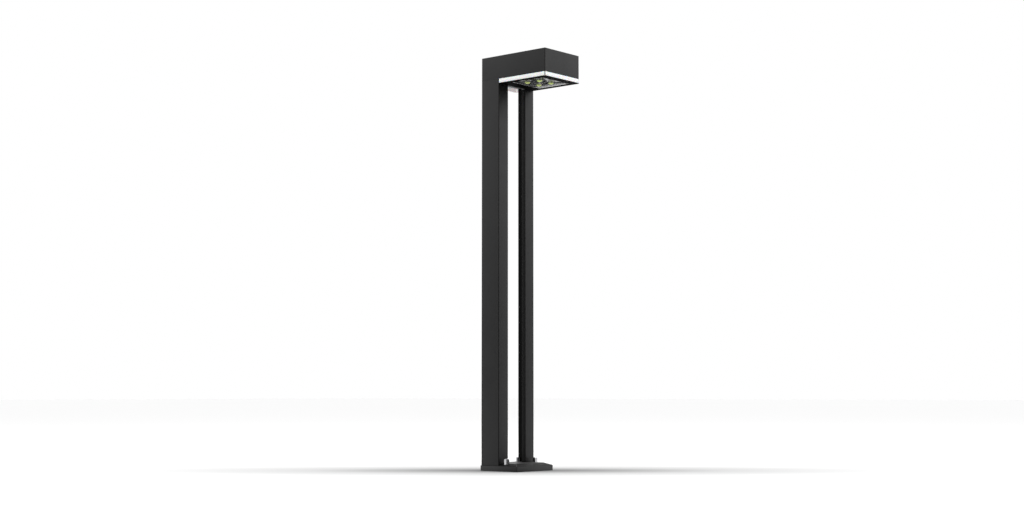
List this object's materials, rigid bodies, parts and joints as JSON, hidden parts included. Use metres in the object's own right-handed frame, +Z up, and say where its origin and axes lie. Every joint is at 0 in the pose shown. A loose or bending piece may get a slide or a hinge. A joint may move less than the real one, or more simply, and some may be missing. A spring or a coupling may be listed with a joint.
{
  "type": "bollard light",
  "caption": "Path light: a box-shaped head with a down-facing LED module and an opal band, held by a wide and a slim post on a hipped base plate.",
  "frame": {"origin": "middle of the base plate's underside, on the ground", "axes": "+Z up; the head reaches out towards -Y, which is the front; +X to the right as seen from the front, where the slim post stands"},
  "size_m": [0.1204, 0.1802, 0.9],
  "materials": {
    "graphite_paint": "fine-textured satin powder coat",
    "black_enamel": "glossy black enamel",
    "opal_acrylic": "opal, satin",
    "clear_lens": "clear, polished",
    "stainless_steel": "bright polished",
    "plain_aluminium": "mill finish",
    "grey_strip": "satin grey paint",
    "satin_reflector": "satin anodised",
    "led_phosphor": "glossy silicone",
    "black_plastic": "moulded, matt",
    "white_plastic": "moulded, matt",
    "white_board": "solder mask",
    "rubber": "matt",
    "red_wire": "satin insulation",
    "blue_wire": "satin insulation"
  },
  "bodies": {
    "root": {"anchor_cap_nut_back_right": "stainless_steel", "anchor_cap_nut_front_left": "stainless_steel", "anchor_cap_nut_front_right": "stainless_steel", "anchor_stud_back_right": "stainless_steel", "anchor_stud_front_left": "stainless_steel", "anchor_stud_front_right": "stainless_steel", "anchor_washer_back_right": "stainless_steel", "anchor_washer_front_left": "stainless_steel", "anchor_washer_front_right": "stainless_steel", "base_grommet": "rubber", "base_plate": "graphite_paint", "bezel_frame": "black_enamel", "bezel_screw_back_left": "stainless_steel", "bezel_screw_back_right": "stainless_steel", "bezel_screw_front_left": "stainless_steel", "bezel_screw_front_right": "stainless_steel", "casing_screw_back": "stainless_steel", "casing_screw_left": "stainless_steel", "casing_screw_right": "stainless_steel", "chassis_grommet": "rubber", "chassis_plate": "plain_aluminium", "column_foot_plug": "plain_aluminium", "column_foot_screw_back": "stainless_steel", "column_foot_screw_front": "stainless_steel", "column_head_plug": "plain_aluminium", "column_head_screw_back": "stainless_steel", "column_head_screw_front": "stainless_steel", "lens_plate": "clear_lens", "driver_screw_left": "stainless_steel", "driver_screw_right": "stainless_steel", "earth_screw": "stainless_steel", "lens_gasket": "rubber", "head_casing": "graphite_paint", "led_1": "led_phosphor", "led_2": "led_phosphor", "led_3": "led_phosphor", "led_4": "led_phosphor", "led_board": "white_board", "led_driver": "white_plastic", "led_holder_1": "black_plastic", "led_holder_2": "black_plastic", "led_holder_3": "black_plastic", "led_holder_4": "black_plastic", "led_lead_minus": "blue_wire", "led_lead_plus": "red_wire", "left_column": "graphite_paint", "mains_lead_blue": "blue_wire", "mains_lead_brown": "red_wire", "opal_diffuser": "opal_acrylic", "reflector_plate": "satin_reflector", "rear_strip": "grey_strip", "lens_screw": "stainless_steel", "heat_spreader": "plain_aluminium", "slim_foot_screw_left": "stainless_steel", "slim_foot_screw_right": "stainless_steel", "slim_head_screw_left": "stainless_steel", "slim_head_screw_right": "stainless_steel", "slim_post": "graphite_paint", "supply_cable": "rubber", "terminal_block": "white_plastic"}
  },
  "joints": []
}
